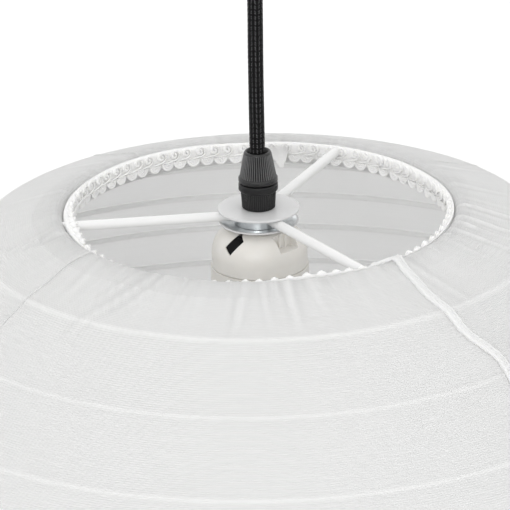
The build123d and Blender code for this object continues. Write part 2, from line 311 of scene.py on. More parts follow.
def shade_cloth(ring_run, whole_run):
    """Fine ribbed cotton: ribs run round the shade and light comes through. Painted highlights make the wires
    pale lines and light the gather crests, painted shade darkens the gather valleys and greys the
    turned-in hem. The runs are where the ring lies and the whole section."""
    material, tree, shader, where = start_material("shade_cloth", 0.88)
    uv = add(tree, "ShaderNodeUVMap", uv_map="weave").outputs[0]
    parts = add(tree, "ShaderNodeSeparateXYZ", {0: uv})
    across, along = parts.outputs[0], parts.outputs[1]
    slub = grain(tree, stretched(tree, uv, (40.0, 900.0, 1.0)), 1.0, 2.0)
    waver = maths(tree, "MULTIPLY", maths(tree, "SUBTRACT", slub, 0.5), 0.0005)
    rib = wave(tree, maths(tree, "ADD", along, waver), 0.00092)
    thread = wave(tree, across, 0.00031)
    patch = grain(tree, where, 9.0, 2.0)
    weave = maths(tree, "ADD", maths(tree, "MULTIPLY", rib, 0.75), maths(tree, "MULTIPLY", thread, 0.25))
    tone = maths(tree, "MULTIPLY", maths(tree, "ADD", weave, slub), 0.5)
    base = blend_colour(tree, tone, colour(0.87, 0.87, 0.868), colour(0.935, 0.935, 0.933))
    base = blend_colour(tree, between(tree, patch, 0.35, 0.65, 0.0, 0.12), base, colour(0.90, 0.898, 0.89))
    # painted highlight: the cloth is paler where it lies on a wire
    wire = add(tree, "ShaderNodeAttribute", attribute_name="painted_wire_highlight").outputs["Fac"]
    # painted highlight on the fold ridges and painted shade in the valleys beside them
    fold = add(tree, "ShaderNodeAttribute", attribute_name="painted_fold_light").outputs["Fac"]
    ridge = between(tree, fold, 0.0, 1.0)
    painted_valley_shade = between(tree, fold, 0.0, -1.0)
    # painted highlight on the wire lines and the fold ridges, mixed towards near white
    painted_highlight = maths(tree, "MAXIMUM", maths(tree, "MULTIPLY", wire, 0.8), ridge)
    base = blend_colour(tree, painted_highlight, base, colour(0.99, 0.99, 0.987))
    # painted shade in the valleys beside the folds
    base = blend_colour(tree, painted_valley_shade, base, colour(0.76, 0.76, 0.758))
    hem = add(tree, "ShaderNodeAttribute", attribute_name="hem_shade_mask").outputs["Fac"]
    end_run = maths(tree, "MINIMUM", along, maths(tree, "SUBTRACT", whole_run * MM, along))
    uneven = maths(tree, "MULTIPLY", grain(tree, where, 38.0, 1.0), 0.0024)
    edge = maths(tree, "SUBTRACT", end_run, uneven)
    hem_edge = (ring_run + HEM_WIDTH - 1.2) * MM
    under = between(tree, edge, hem_edge, hem_edge + 0.0005, 1.0, 0.0)
    hem = maths(tree, "MULTIPLY", hem, under)
    # painted shade: the hem band is greyed where the turned-in layer blocks the light through the cloth
    base = blend_colour(tree, maths(tree, "MULTIPLY", hem, 0.45), base, colour(0.85, 0.85, 0.847))
    relief = bump(tree, maths(tree, "ADD", weave, hem), 0.00022, 0.6)
    join(tree, base, shader.inputs["Base Color"])
    join(tree, relief, shader.inputs["Normal"])
    shader.inputs["Sheen Weight"].default_value = 0.25
    shader.inputs["Sheen Roughness"].default_value = 0.5
    through = add(tree, "ShaderNodeBsdfTranslucent", {"Color": base, "Normal": relief})
    mixed = add(tree, "ShaderNodeMixShader", {0: 0.58, 1: shader.outputs[0], 2: through.outputs[0]})
    join(tree, mixed.outputs[0], tree.nodes["Material Output"].inputs["Surface"])
    return material


def braid_thread(name, light, dark, soft=0.0, lit_through=0.4):
    """Soft cotton thread, a little fuzzy, with the tone of its twist."""
    material, tree, shader, where = start_material(name, 0.85)
    shader.inputs["Subsurface Weight"].default_value = soft
    shader.inputs["Subsurface Radius"].default_value = (0.004, 0.004, 0.0038)
    twist = grain(tree, stretched(tree, where, (900.0, 900.0, 2600.0)), 1.0, 3.0, 0.6)
    fuzz = grain(tree, where, 4200.0, 2.0, 0.7)
    tone = between(tree, maths(tree, "ADD", twist, fuzz), 0.75, 1.25)
    join(tree, blend_colour(tree, tone, dark, light), shader.inputs["Base Color"])
    join(tree, bump(tree, tone, 0.00015, 0.7), shader.inputs["Normal"])
    shader.inputs["Sheen Weight"].default_value = 0.3
    through = add(tree, "ShaderNodeBsdfTranslucent", {"Color": light})
    mixed = add(tree, "ShaderNodeMixShader", {0: lit_through, 1: shader.outputs[0], 2: through.outputs[0]})
    join(tree, mixed.outputs[0], tree.nodes["Material Output"].inputs["Surface"])
    return material


def painted_steel(name, tint):
    """Stove-enamelled wire: a smooth coat with slight orange peel and faint handling marks."""
    material, tree, shader, where = start_material(name, 0.4)
    peel = grain(tree, where, 650.0, 2.0)
    marks = grain(tree, stretched(tree, where, (60.0, 60.0, 160.0)), 1.0, 5.0, 0.7)
    worn = between(tree, marks, 0.62, 0.8)
    wear_and_highlight = colour(tint[0] * 0.86, tint[1] * 0.86, tint[2] * 0.85)
    join(tree, blend_colour(tree, worn, tint, wear_and_highlight), shader.inputs["Base Color"])
    join(tree, between(tree, marks, 0.3, 0.8, 0.3, 0.52), shader.inputs["Roughness"])
    join(tree, bump(tree, peel, 0.00004, 0.5), shader.inputs["Normal"])
    return material


def zinc_plate():
    """Bright zinc plating with a faint spangle and turning marks."""
    material, tree, shader, where = start_material("zinc_plate", 0.32, 1.0)
    spangle = add(tree, "ShaderNodeTexVoronoi", {"Vector": where, "Scale": 420.0}).outputs["Color"]
    cloud = grain(tree, where, 160.0, 4.0, 0.65)
    flake = maths(tree, "MULTIPLY", spangle, 0.35)
    tone = maths(tree, "ADD", maths(tree, "MULTIPLY", cloud, 0.65), flake)
    join(tree, blend_colour(tree, tone, colour(0.44, 0.465, 0.48), colour(0.84, 0.86, 0.865)),
         shader.inputs["Base Color"])
    join(tree, between(tree, tone, 0.2, 0.8, 0.42, 0.24), shader.inputs["Roughness"])
    join(tree, bump(tree, tone, 0.00005, 0.5), shader.inputs["Normal"])
    return material


def moulded(name, light, dark, roughness, subsurface=0.0, shine=0.5, wear_and_highlight=None):
    """Injection-moulded plastic with a fine spark-eroded grain and faint flow clouding. Ribs can get
    a painted highlight: another tone along their tops."""
    material, tree, shader, where = start_material(name, roughness)
    fine = grain(tree, where, 1300.0, 2.0, 0.6)
    flow = grain(tree, where, 70.0, 3.0, 0.55)
    base = blend_colour(tree, between(tree, flow, 0.3, 0.7), dark, light)
    if wear_and_highlight:
        crest = add(tree, "ShaderNodeAttribute", attribute_name="crest").outputs["Fac"]
        # painted highlight on the rib tops
        base = blend_colour(tree, between(tree, crest, 0.35, 1.0), base, wear_and_highlight)
    join(tree, base, shader.inputs["Base Color"])
    join(tree, between(tree, fine, 0.3, 0.7, roughness - 0.08, roughness + 0.1), shader.inputs["Roughness"])
    join(tree, bump(tree, fine, 0.00005, 0.45), shader.inputs["Normal"])
    shader.inputs["Specular IOR Level"].default_value = shine
    shader.inputs["Subsurface Weight"].default_value = subsurface
    shader.inputs["Subsurface Radius"].default_value = (0.003, 0.0026, 0.002)
    return material


def cord_yarn():
    """Black textile yarn: matt filaments with small pale painted highlights on the yarn crests, where they
    catch the light.
    """
    material, tree, shader, where = start_material("cord_yarn", 0.62)
    filament = grain(tree, stretched(tree, where, (2600.0, 2600.0, 700.0)), 1.0, 3.0, 0.7)
    crest = add(tree, "ShaderNodeAttribute", attribute_name="crest").outputs["Fac"]
    # painted highlight on the outermost strip of each yarn
    tip = between(tree, crest, 0.6, 1.0)
    painted_glint = maths(tree, "MULTIPLY", tip, between(tree, filament, 0.35, 0.6, 0.5, 1.0))
    base = blend_colour(tree, filament, colour(0.0015, 0.0015, 0.0015), colour(0.006, 0.006, 0.0065))
    join(tree, blend_colour(tree, painted_glint, base, colour(0.36, 0.36, 0.37)), shader.inputs["Base Color"])
    shader.inputs["Specular IOR Level"].default_value = 0.12
    join(tree, bump(tree, filament, 0.0001, 0.8), shader.inputs["Normal"])
    return material


def brass():
    material, tree, shader, where = start_material("brass", 0.3, 1.0)
    cloud = grain(tree, where, 240.0, 5.0, 0.65)
    lines = grain(tree, stretched(tree, where, (120.0, 120.0, 3800.0)), 1.0, 2.0)
    tone = maths(tree, "MULTIPLY", maths(tree, "ADD", cloud, lines), 0.5)
    join(tree, blend_colour(tree, tone, colour(0.42, 0.27, 0.10), colour(0.86, 0.66, 0.33)),
         shader.inputs["Base Color"])
    join(tree, between(tree, cloud, 0.3, 0.7, 0.22, 0.42), shader.inputs["Roughness"])
    join(tree, bump(tree, lines, 0.00003, 0.5), shader.inputs["Normal"])
    return material


def steatite():
    """Unglazed ceramic, chalky with fine specks."""
    material, tree, shader, where = start_material("steatite", 0.7)
    specks = between(tree, grain(tree, where, 1900.0, 2.0, 0.8), 0.66, 0.76)
    cloud = grain(tree, where, 190.0, 4.0)
    base = blend_colour(tree, cloud, colour(0.66, 0.63, 0.56), colour(0.82, 0.80, 0.74))
    join(tree, blend_colour(tree, specks, base, colour(0.35, 0.31, 0.26)), shader.inputs["Base Color"])
    join(tree, bump(tree, cloud, 0.0001, 0.5), shader.inputs["Normal"])
    return material


def wire_cover():
    """Insulation of a pair of wires: brown on one side of the lamp's middle, blue on the other."""
    material, tree, shader, where = start_material("wire_cover", 0.42)
    side = add(tree, "ShaderNodeSeparateXYZ", {0: where}).outputs[1]
    blue = between(tree, side, -0.0002, 0.0002)
    cloud = grain(tree, where, 900.0, 3.0)
    base = blend_colour(tree, blue, colour(0.16, 0.055, 0.02), colour(0.02, 0.07, 0.32))
    join(tree, blend_colour(tree, maths(tree, "MULTIPLY", cloud, 0.3), base, colour(0.3, 0.3, 0.3)),
         shader.inputs["Base Color"])
    join(tree, bump(tree, cloud, 0.00004, 0.4), shader.inputs["Normal"])
    return material


WHITE = colour(0.77, 0.77, 0.765)
GIMP_MATERIAL = braid_thread("gimp_thread", colour(0.99, 0.986, 0.972), colour(0.96, 0.955, 0.938), 0.6, 0.06)
SEAM_MATERIAL = braid_thread("seam_thread", colour(0.93, 0.93, 0.925), colour(0.89, 0.89, 0.885), 0.3, 0.2)
TAPE_MATERIAL = braid_thread("binding_thread", colour(0.96, 0.96, 0.955), colour(0.84, 0.84, 0.835))
WIRE_PAINT = painted_steel("wire_paint", WHITE)
# a lighter copy of the wire paint: painted light that brightens the hoops seen in the shade inside the cloth
HOOP_PAINT_LIT = painted_steel("hoop_paint_lit", colour(0.85, 0.85, 0.845))
DISC_PAINT = painted_steel("disc_paint", colour(0.60, 0.60, 0.60))
ZINC = zinc_plate()
CATCH_PLASTIC = moulded("catch_plastic", colour(0.004, 0.004, 0.004), colour(0.002, 0.002, 0.002), 0.6,
                        shine=0.15)
BLACK_PLASTIC = moulded("black_plastic", colour(0.020, 0.020, 0.021), colour(0.010, 0.010, 0.010), 0.34,
                        shine=0.6)
# the nut's and the collar's rib tops get a painted highlight
NUT_PLASTIC = moulded("nut_plastic", colour(0.012, 0.012, 0.013), colour(0.006, 0.006, 0.006), 0.34,
                      shine=0.55, wear_and_highlight=colour(0.16, 0.16, 0.162))
COLLAR_PLASTIC = moulded("collar_plastic", colour(0.010, 0.010, 0.011), colour(0.005, 0.005, 0.005), 0.4,
                         shine=0.35, wear_and_highlight=colour(0.03, 0.03, 0.03))
HOLDER_PLASTIC = moulded("holder_plastic", colour(0.72, 0.70, 0.665), colour(0.665, 0.648, 0.61), 0.38, 0.15)
CUP_PLASTIC = moulded("cup_plastic", colour(0.84, 0.84, 0.83), colour(0.79, 0.79, 0.78), 0.34, 0.1)
BLOCK_PLASTIC = moulded("block_plastic", colour(0.70, 0.66, 0.54), colour(0.62, 0.58, 0.47), 0.45, 0.2)
YARN_MATERIAL = cord_yarn()
BRASS = brass()
CERAMIC = steatite()
WIRE_COVER = wire_cover()


# ---------------------------------------------------------------- cord

def build_cord():
    """The cord's core on its route, and the braid of yarns round it."""
    curve = bpy.data.curves.new("hanging_cord", "CURVE")
    curve.dimensions = "3D"
    curve.resolution_u = 40
    spline = curve.splines.new("NURBS")
    spline.points.add(len(CORD_ROUTE) - 1)
    for place, point in zip(spline.points, CORD_ROUTE):
        place.co = (*point, 1.0)
    spline.order_u = 3
    spline.use_endpoint_u = True
    core = bpy.data.objects.new("hanging_cord", curve)
    line = bpy.data.meshes.new_from_object(core)
    path = [v.co / MM for v in line.vertices]
    bpy.data.meshes.remove(line)
    curve.bevel_depth = CORD_DIAMETER / 2 - 2.6 * YARN * MM
    curve.bevel_resolution = 8
    curve.use_fill_caps = True
    curve.materials.append(YARN_MATERIAL)
    bpy.context.scene.collection.objects.link(core)
    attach(core, "ceiling")
    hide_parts("cord")
    braid = build_braid(path)


def height_point(path, height):
    """Point of the cord's line at that height."""
    for low, high in zip(path, path[1:]):
        if low.z <= height <= high.z:
            return low.lerp(high, (height - low.z) / (high.z - low.z))
    return path[-1]


def build_braid(path):
    """Pairs of yarns that wind both ways, each over two and under two, which makes upright columns
    of slanting stitches."""
    bm = bmesh.new()
    foot, top = path[0].z, path[-1].z
    count = int((top - foot) / YARN_STEP)
    middle = [height_point(path, foot + (top - foot) * i / count) for i in range(count + 1)]
    radius = CORD_DIAMETER / MM / 2 - YARN - YARN_LIFT + 0.05
    for way in (1, -1):
        for carrier in range(CARRIERS):
            for beside in (-0.5, 0.5):
                points = []
                for point in middle:
                    rise = point.z - foot
                    turn = 360.0 * (way * rise / BRAID_LEAD + carrier / CARRIERS)
                    turn += beside * math.degrees(1.75 * YARN / radius)
                    reach = radius + way * YARN_LIFT * math.cos(COLUMNS / 2 * math.radians(turn))
                    points.append(on_circle(reach, turn, 0) + point)
                add_mesh(bm, tube_along(points, YARN, 4))
    crest = bm.verts.layers.float.new("crest")
    for vert in bm.verts:
        axis = height_point(path, vert.co.z)
        out = (vert.co.xy - axis.xy).length
        vert[crest] = min(1.0, max(0.0, (out - radius - YARN_LIFT - 0.1) / (YARN - 0.1)))
    settle(bm)
    return piece("cord_cover", bm, "ceiling", YARN_MATERIAL, sharp=60.0)


# ---------------------------------------------------------------- cloth

HOOPS = sorted(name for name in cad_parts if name.startswith("hoop_"))


def wire_centres():
    """(radius, height) and wire radius of the top ring, every hoop and the bottom ring."""
    centres = []
    for name in ["top_ring"] + HOOPS + ["bottom_ring"]:
        low, high = box_mm(name)
        wire = (high.z - low.z) / 2
        centres.append((Vector((high.x - wire, (low.z + high.z) / 2)), wire))
    return centres


def outward(run):
    """Unit normal of a run of the cloth, on the side away from the lamp's middle."""
    return Vector((-run.y, run.x)).normalized()


def ring_arc(centre, reach, first, last, steps=9):
    """Points round a ring's wire from one angle to another."""
    points = []
    for step in range(steps + 1):
        turn = math.radians(first + (last - first) * step / steps)
        points.append(centre + reach * Vector((math.cos(turn), math.sin(turn))))
    return points


def angle_of(direction):
    return math.degrees(math.atan2(direction.y, direction.x))


def cloth_line():
    """The cloth's section from the hem in the top ring to the hem in the bottom ring, and for
    each point how much of a wire line it is: taut runs between wires, with a curl round each ring."""
    wires = wire_centres()
    runs = [after[0] - before[0] for before, after in zip(wires, wires[1:])]
    top, top_wire = wires[0]
    bottom, bottom_wire = wires[-1]
    curl = ring_arc(top, top_wire + RING_GAP, 205.0, angle_of(outward(runs[0])))
    line = [(Vector((curl[0].x - 0.1, curl[0].y - HEM_TAIL)), 0.0)] + [(p, 0.0) for p in curl]
    for index, run in enumerate(runs):
        here, wire = wires[index + 1]
        reach = wire + GAP
        normal = outward(run)
        end = here + reach * normal
        start = line[-1][0]
        length = (end - start).length
        shares = [CREASE / length] + [s / RUN_FACES for s in range(1, RUN_FACES)] + [1 - CREASE / length]
        line += [(start.lerp(end, share), 0.0) for share in shares]
        if index < len(runs) - 1:
            after = outward(runs[index + 1])
            over = here + reach * (normal + after).normalized()
            line += [(end, 1.0), (over, 1.0), (here + reach * after, 1.0)]
    last = angle_of(outward(runs[-1]))
    curl = ring_arc(bottom, bottom_wire + RING_GAP, last, -205.0)
    line += [(p, 0.0) for p in curl]
    line.append((Vector((curl[-1].x - 0.1, curl[-1].y + HEM_TAIL)), 0.0))
    return line


def distances(line):
    """Length along the section up to each point."""
    run = [0.0]
    for (before, _), (after, _) in zip(line, line[1:]):
        run.append(run[-1] + (after - before).length)
    return run


def gather_height(azimuth, radius, down):
    """How far the gathers lift the cloth at a place that far down from the ring, and the painted
    highlight and shade of their folds there: ridges above 0, the valleys beside them below."""
    lift = 0.0
    shade = 0.0
    for where, width, length, height, lean in PLEATS:
        reach = down / length
        if not 0.0 <= reach < 1.0:
            continue
        off = abs(math.radians(degrees_apart(azimuth, where + lean * down)) * radius) / width
        if off > 4.0:
            continue
        strength = height * (1 - reach) ** 0.8 * min(1.0, 0.5 + reach * 6)
        lift += strength * math.exp(-off ** 2)
        shade += strength * (math.exp(-off ** 2) - 0.55 * math.exp(-(off - 1.9) ** 2))
    return lift, shade


def soft_waves(azimuth, down, half):
    """Fine gathers beside the rings and slow waves over the whole shade."""
    turn = math.radians(azimuth)
    spot = Vector((math.cos(turn) * 17.0, math.sin(turn) * 17.0, down * 0.012))
    ridge = 1.0 - min(1.0, abs(noise.noise(spot * 1.1)) * 3.2)
    fine = ridge ** 2 * 0.75 * math.exp(-down / 15.0)
    slow = noise.noise(Vector((math.cos(turn) * 2.2, math.sin(turn) * 2.2, down * 0.02 + 7 * half))) * 0.45
    return fine, slow * min(1.0, down / 30.0)


def seam_drift(index, down):
    """Degrees by which a seam strays from its place at a length down from the top ring."""
    steps = SEAM_DRIFT[index % GORES]
    if down <= steps[0][0]:
        return steps[0][1]
    for (low, first), (high, second) in zip(steps, steps[1:]):
        if down <= high:
            share = (down - low) / (high - low)
            return first + (second - first) * share * share * (3 - 2 * share)
    return steps[-1][1]


def edge_pull(index, share, down):
    """Degrees by which a place on a panel follows the stray seams at its two edges."""
    down = max(0.0, down)
    near_start = max(0.0, 1.0 - 3.0 * share)
    near_end = max(0.0, 1.0 - 3.0 * (1.0 - share))
    return near_start * seam_drift(index, down) + near_end * seam_drift(index + 1, down)


def build_gore(index, line, run, cloth):
    """One cloth panel, spun from the section and then gathered at the rings."""
    bm = bmesh.new()
    sweep = 360.0 / GORES
    spin_outline(bm, [tuple(p) for p, _ in line], AROUND, sweep, closed=False)
    start = FIRST_SEAM + index * sweep
    bmesh.ops.rotate(bm, verts=bm.verts, cent=(0, 0, 0), matrix=Matrix.Rotation(math.radians(start), 3, "Z"))
    bm.verts.ensure_lookup_table()
    uv = bm.loops.layers.uv.new("weave")
    wire_highlight_layer = bm.verts.layers.float.new("painted_wire_highlight")
    hem_shade_layer = bm.verts.layers.float.new("hem_shade_mask")
    painted_fold_layer = bm.verts.layers.float.new("painted_fold_light")
    places = {}
    for number, vert in enumerate(bm.verts):
        row = number % len(line)
        straight = math.degrees(math.atan2(vert.co.y, vert.co.x)) % 360.0
        radius = line[row][0].x
        from_top = run[row] - run[CURL_END]
        from_bottom = run[-1 - CURL_END] - run[row]
        off_middle = degrees_apart(straight, start + sweep / 2)
        places[vert] = (math.radians(off_middle) * radius, run[row])
        azimuth = (straight + edge_pull(index, off_middle / sweep + 0.5, from_top)) % 360.0
        vert.co = on_circle(radius, azimuth, line[row][0].y)
        # where the painted highlight of a wire line goes
        vert[wire_highlight_layer] = line[row][1]
        # where the painted shade of the hem band goes
        vert[hem_shade_layer] = hem_share(azimuth, from_top < from_bottom)
        near, half = (from_top, 0) if from_top < from_bottom else (from_bottom, 1)
        if near > -GATHER_START:
            turned_way = azimuth if half == 0 else (azimuth + 57.0) % 360.0
            down = max(0.0, near)
            pleat, shade = gather_height(turned_way, radius, down)
            fine, slow = soft_waves(azimuth, down, half)
            # painted highlight and shade of the folds, for the cloth's colour
            vert[painted_fold_layer] = max(-1.0, min(1.0, shade * 0.85 + fine * 0.6))
            lift = pleat + fine + slow
            lift *= 1.0 - 0.8 * line[row][1] * min(1.0, down / 60.0)
            normal = section_normal(line, row)
            push = max(0.0, lift) * min(1.0, (near + GATHER_START) / GATHER_START)
            vert.co += on_circle(normal.x * push, azimuth, normal.y * push)
    for face in bm.faces:
        for loop in face.loops:
            across, along = places[loop.vert]
            loop[uv].uv = (across * MM, along * MM)
    bmesh.ops.recalc_face_normals(bm, faces=bm.faces)
    panel = piece(f"cloth_panel_{index + 1}", bm, "shade", cloth,
                  [f"cloth_gore_{index + 1}"], sharp=60.0)
    thickness = panel.modifiers.new("cloth thickness", "SOLIDIFY")
    thickness.thickness = CLOTH * MM
    thickness.offset = 0.0
    return panel


def hem_share(azimuth, at_top):
    """How plainly the turned-in cloth shows through the outer layer, as painted shade."""
    if not at_top:
        return 1.0
    ends = min(max(0.0, (azimuth - 140.0) / 30.0), max(0.0, (274.0 - azimuth) / 8.0))
    return 0.25 + 0.75 * min(1.0, ends)


def section_normal(line, row):
    before = line[max(0, row - 1)][0]
    after = line[min(len(line) - 1, row + 1)][0]
    return outward(after - before)


def build_cloth():
    line = cloth_line()
    run = distances(line)
    cloth = shade_cloth(run[CURL_END], run[-1])
    for index in range(GORES):
        panel = build_gore(index, line, run, cloth)
        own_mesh(panel)
    for index in range(GORES):
        seam = build_seam(index, line, run)
        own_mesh(seam)


def build_seam(index, line, run):
    """Rolled seam along a panel's edge with its overlocked stitches."""
    roll = SEAM_ROLLS[index]
    bulky = roll > 1.0
    outer = []
    for row, (p, _) in enumerate(line):
        down = run[row] - run[CURL_END]
        lump = SEAM_LUMP * math.exp(-((down + 2.0) / 4.0) ** 2) if bulky else 0.0
        outer.append(p + section_normal(line, row) * (CLOTH / 2 + roll * 0.42 + lump))
    points = even_points(outer, SEAM_STEP)
    centre = []
    down = -run[CURL_END]
    for number, point in enumerate(points):
        down += (point - points[number - 1]).length if number else 0.0
        centre.append(FIRST_SEAM + index * 360.0 / GORES + seam_drift(index, down))
    random_source = random.Random(11 + index)
    bm = bmesh.new()
    threads = ((-0.8, 0.7), (0.0, 0.74), (0.85, 0.62)) if bulky else ((-0.6, 0.78), (0.66, 0.62))
    for side, share in threads:
        places = []
        for number, point in enumerate(points):
            wobble = 0.12 * math.sin(number * 0.31) + random_source.uniform(-0.05, 0.05)
            turn = centre[number] + math.degrees((side * roll + wobble) / point.x)
            places.append(on_circle(point.x, turn, point.y))
        add_mesh(bm, tube_along(places, roll * share, 6))
    for number in range(2, len(points) - 3, 3):
        here, ahead = points[number], points[number + 1]
        normal = outward(ahead - here) * roll * 0.72
        half_turn = math.degrees(1.3 * roll / here.x)
        stitch = [on_circle(here.x - normal.x * 0.5, centre[number] - half_turn, here.y - normal.y * 0.5),
                  on_circle(here.x + normal.x, centre[number], here.y + normal.y),
                  on_circle(ahead.x - normal.x * 0.5, centre[number] + half_turn, ahead.y - normal.y * 0.5)]
        add_mesh(bm, tube_along(stitch, STITCH, 4))
    settle(bm)
    return piece(f"seam_{index + 1}", bm, "shade", SEAM_MATERIAL if bulky else TAPE_MATERIAL,
                 sharp=70.0)


def even_points(points, step):
    """Points a step apart along a line."""
    placed = [points[0]]
    left = step
    for before, after in zip(points, points[1:]):
        length = (after - before).length
        done = 0.0
        while length - done >= left:
            done += left
            placed.append(before.lerp(after, done / length))
            left = step
        left -= length - done
    return placed


# ---------------------------------------------------------------- braid in the openings

def scroll(size, thread, turns, puff):
    """A thread coiled inwards into a puffed ball, in the YZ plane, standing out towards -X."""
    points = []
    for step in range(15):
        share = step / 14
        turn = math.radians(-150.0 - 360.0 * turns * share)
        reach = size * (1.0 - 0.8 * share)
        points.append((-puff * share, reach * math.cos(turn), reach * math.sin(turn)))
    return tube_along(points, thread, 6)


def feeder(size):
    """The finer thread that comes up from the loop below and hooks over a scroll."""
    points = [(0.5, 5.4, -3.0), (0.1, 4.2, -3.0), (-0.2, 2.8, -2.75), (-0.5, 1.2, -2.35), (-0.6, -0.4, -1.95),
              (-0.6, -1.5, -1.2)]
    for degrees in (-165.0, -195.0, -225.0, -255.0, -280.0):
        turn = math.radians(degrees)
        points.append((-0.45, size * 1.12 * math.cos(turn), size * 1.12 * math.sin(turn)))
    return tube_along(points, 0.36, 4)


def hanging_loop(width, drop, thread):
    """A flat loop of thread that hangs below the band."""
    points = []
    for step in range(9):
        turn = math.pi * step / 8
        points.append((-0.25 * math.sin(turn), width * math.cos(turn), -drop * math.sin(turn)))
    return tube_along(points, thread, 5)


def stray(bm, glued):
    """Thickens a braid inwards and lifts or drops it along its way, as it lies when set by hand.
    Its glued side doesn't move inwards."""
    for vert in bm.verts:
        azimuth = math.degrees(math.atan2(vert.co.y, vert.co.x)) % 360.0
        spread = vert.co.xy.length
        inward = 0.0
        up = 0.0
        for where, width, most_in, most_up in BRAID_STRAYS:
            share = math.exp(-((degrees_apart(azimuth, where) / width) ** 2))
            inward += most_in * share
            up += most_up * share
        share = min(1.0, max(0.0, (glued - spread) / BRAID_THICKNESS))
        vert.co.xy = vert.co.xy * (spread - inward * share) / spread
        vert.co.z += up


def build_gimp(name, cad_node, body, turned_over):
    """Scroll braid: a padded band, puffed scrolls along its upper edge, flatter loops half a step on
    along its lower edge, and a finer thread that winds from each loop up over the next scroll."""
    low, high = box_mm(cad_node)
    radius = high.x
    top = low.z + BRAID_HEIGHT - BRAID_LIFT if turned_over else high.z + BRAID_LIFT
    middle = top - BRAID_HEIGHT / 2
    band = BRAID_HEIGHT * 0.34
    random_source = random.Random(5 if turned_over else 3)
    bm = bmesh.new()
    outline = [(radius - 0.05, middle - band), (radius - BRAID_THICKNESS * 0.7, middle - band),
               (radius - BRAID_THICKNESS, middle), (radius - BRAID_THICKNESS * 0.8, middle + band),
               (radius - 0.05, top - 0.5)]
    spin_outline(bm, rounded(outline, 0.5, 2), 180)
    ball = scroll(SCROLL_SIZE, SCROLL_THREAD, 1.35, 1.0)
    winding = feeder(SCROLL_SIZE)
    loops = [hanging_loop(2.35, LOOP_DROP, 0.58), hanging_loop(1.45, 1.7, 0.6), hanging_loop(0.6, 0.8, 0.6)]
    count = round(2 * math.pi * radius / SCALLOP)
    ball_height = top - SCROLL_SIZE - SCROLL_THREAD
    loop_height = top - BRAID_HEIGHT + LOOP_DROP + 0.5
    upside = Matrix.Rotation(math.pi, 4, "X") if turned_over else Matrix.Identity(4)
    flatter = Matrix.Scale(BRAID_FLATTENED, 4, (1, 0, 0))
    for index in range(count):
        azimuth = 360.0 * index / count + random_source.uniform(-0.35, 0.35)
        lean = Matrix.Rotation(math.radians(random_source.uniform(-14, 14)), 4, "X")
        grow = Matrix.Scale(random_source.uniform(0.93, 1.07), 4)
        spun = Matrix.Rotation(math.radians(azimuth), 4, "Z")
        seat = Matrix.Translation((radius - BRAID_THICKNESS + 0.2, 0, ball_height))
        add_mesh(bm, ball.copy(), spun @ seat @ upside @ flatter @ lean @ grow)
        front = Matrix.Translation((radius - BRAID_THICKNESS - 0.35, 0, ball_height))
        add_mesh(bm, winding.copy(), spun @ front @ upside @ grow)
        azimuth += 180.0 / count
        lean = Matrix.Rotation(math.radians(random_source.uniform(-10, 10)), 4, "X")
        tip = Matrix.Rotation(math.radians(random_source.uniform(-4, 16)), 4, "Y")
        spun = Matrix.Rotation(math.radians(azimuth), 4, "Z")
        seat = Matrix.Translation((radius - BRAID_THICKNESS, 0, loop_height))
        for loop in loops:
            add_mesh(bm, loop.copy(), spun @ seat @ upside @ flatter @ lean @ tip)
    for mesh in [ball, winding] + loops:
        bpy.data.meshes.remove(mesh)
    if not turned_over:
        braid_end(bm, radius - BRAID_THICKNESS - 0.9, middle + 2.6)
        stray(bm, radius - 0.05)
    bmesh.ops.recalc_face_normals(bm, faces=bm.faces)
    return piece(name, bm, body, GIMP_MATERIAL, [cad_node], sharp=70.0)


def braid_end(bm, radius, height):
    """The braid's cut end, which hangs loose below the glued part and tapers to a corner."""
    made = bmesh.ops.create_grid(bm, x_segments=8, y_segments=8, size=0.5)["verts"]
    for vert in made:
        down = 0.5 - vert.co.y
        width = BRAID_END_SIDE * (1.0 - 0.8 * down ** 1.5)
        across = vert.co.x * width - 1.6 * down
        depth = radius - 0.6 - 0.9 * down ** 2 + 0.25 * math.cos(across * 1.4)
        turn = BRAID_END + math.degrees(across / radius)
        vert.co = on_circle(depth, turn, height - BRAID_END_SIDE * down)
    faces = list({face for vert in made for face in vert.link_faces})
    bmesh.ops.solidify(bm, geom=faces, thickness=0.6)


# ---------------------------------------------------------------- discs and cord grip

def build_discs():
    low, high = box_mm("upper_disc")
    bore = 5.1
    rim = high.x
    outline = [(bore, low.z), (rim - 0.6, low.z), (rim, low.z + 0.05), (rim, high.z), (bore, high.z)]
    piece("clamp_disc", turned(outline, 128, 0.35), "ceiling", DISC_PAINT, ["upper_disc"])
    low, high = box_mm("lower_dish")
    rim = high.x
    flat = 10.5
    sheet = 0.8
    outline = [(bore, low.z), (flat, low.z), (rim - 0.2, high.z - sheet), (rim + 0.3, high.z - 0.5),
               (rim + 0.3, high.z), (rim - 0.5, high.z), (flat, low.z + sheet), (bore, low.z + sheet)]
    bm = turned(outline, 128, 0.3)
    for face in bm.faces:
        middle = face.calc_center_median()
        inside = middle.xy.length < rim - 0.6 and face.normal.z > 0
        face.material_index = 1 if inside else 0
    piece("clamp_dish", bm, "ceiling", [DISC_PAINT, ZINC], ["lower_dish"])


def ribbed(outline, ribs, depth, rib_low, rib_high, soft=0.2):
    """Turned body with upright ribs between two heights, whose tops are marked as its crest."""
    bm = turned(outline, ribs * 4, soft)
    for height in (rib_low, rib_high):
        everything = bm.verts[:] + bm.edges[:] + bm.faces[:]
        bmesh.ops.bisect_plane(bm, geom=everything, plane_co=(0, 0, height), plane_no=(0, 0, 1))
    crest = bm.verts.layers.float.new("crest")
    for vert in bm.verts:
        spread = vert.co.xy.length
        if not rib_low - 0.01 <= vert.co.z <= rib_high + 0.01 or spread < 4.8:
            continue
        turn = math.atan2(vert.co.y, vert.co.x)
        sink = 0.5 - 0.5 * math.cos(turn * ribs)
        vert.co.xy = vert.co.xy * (spread - depth * sink) / spread
        vert[crest] = 1.0 - sink
    return bm


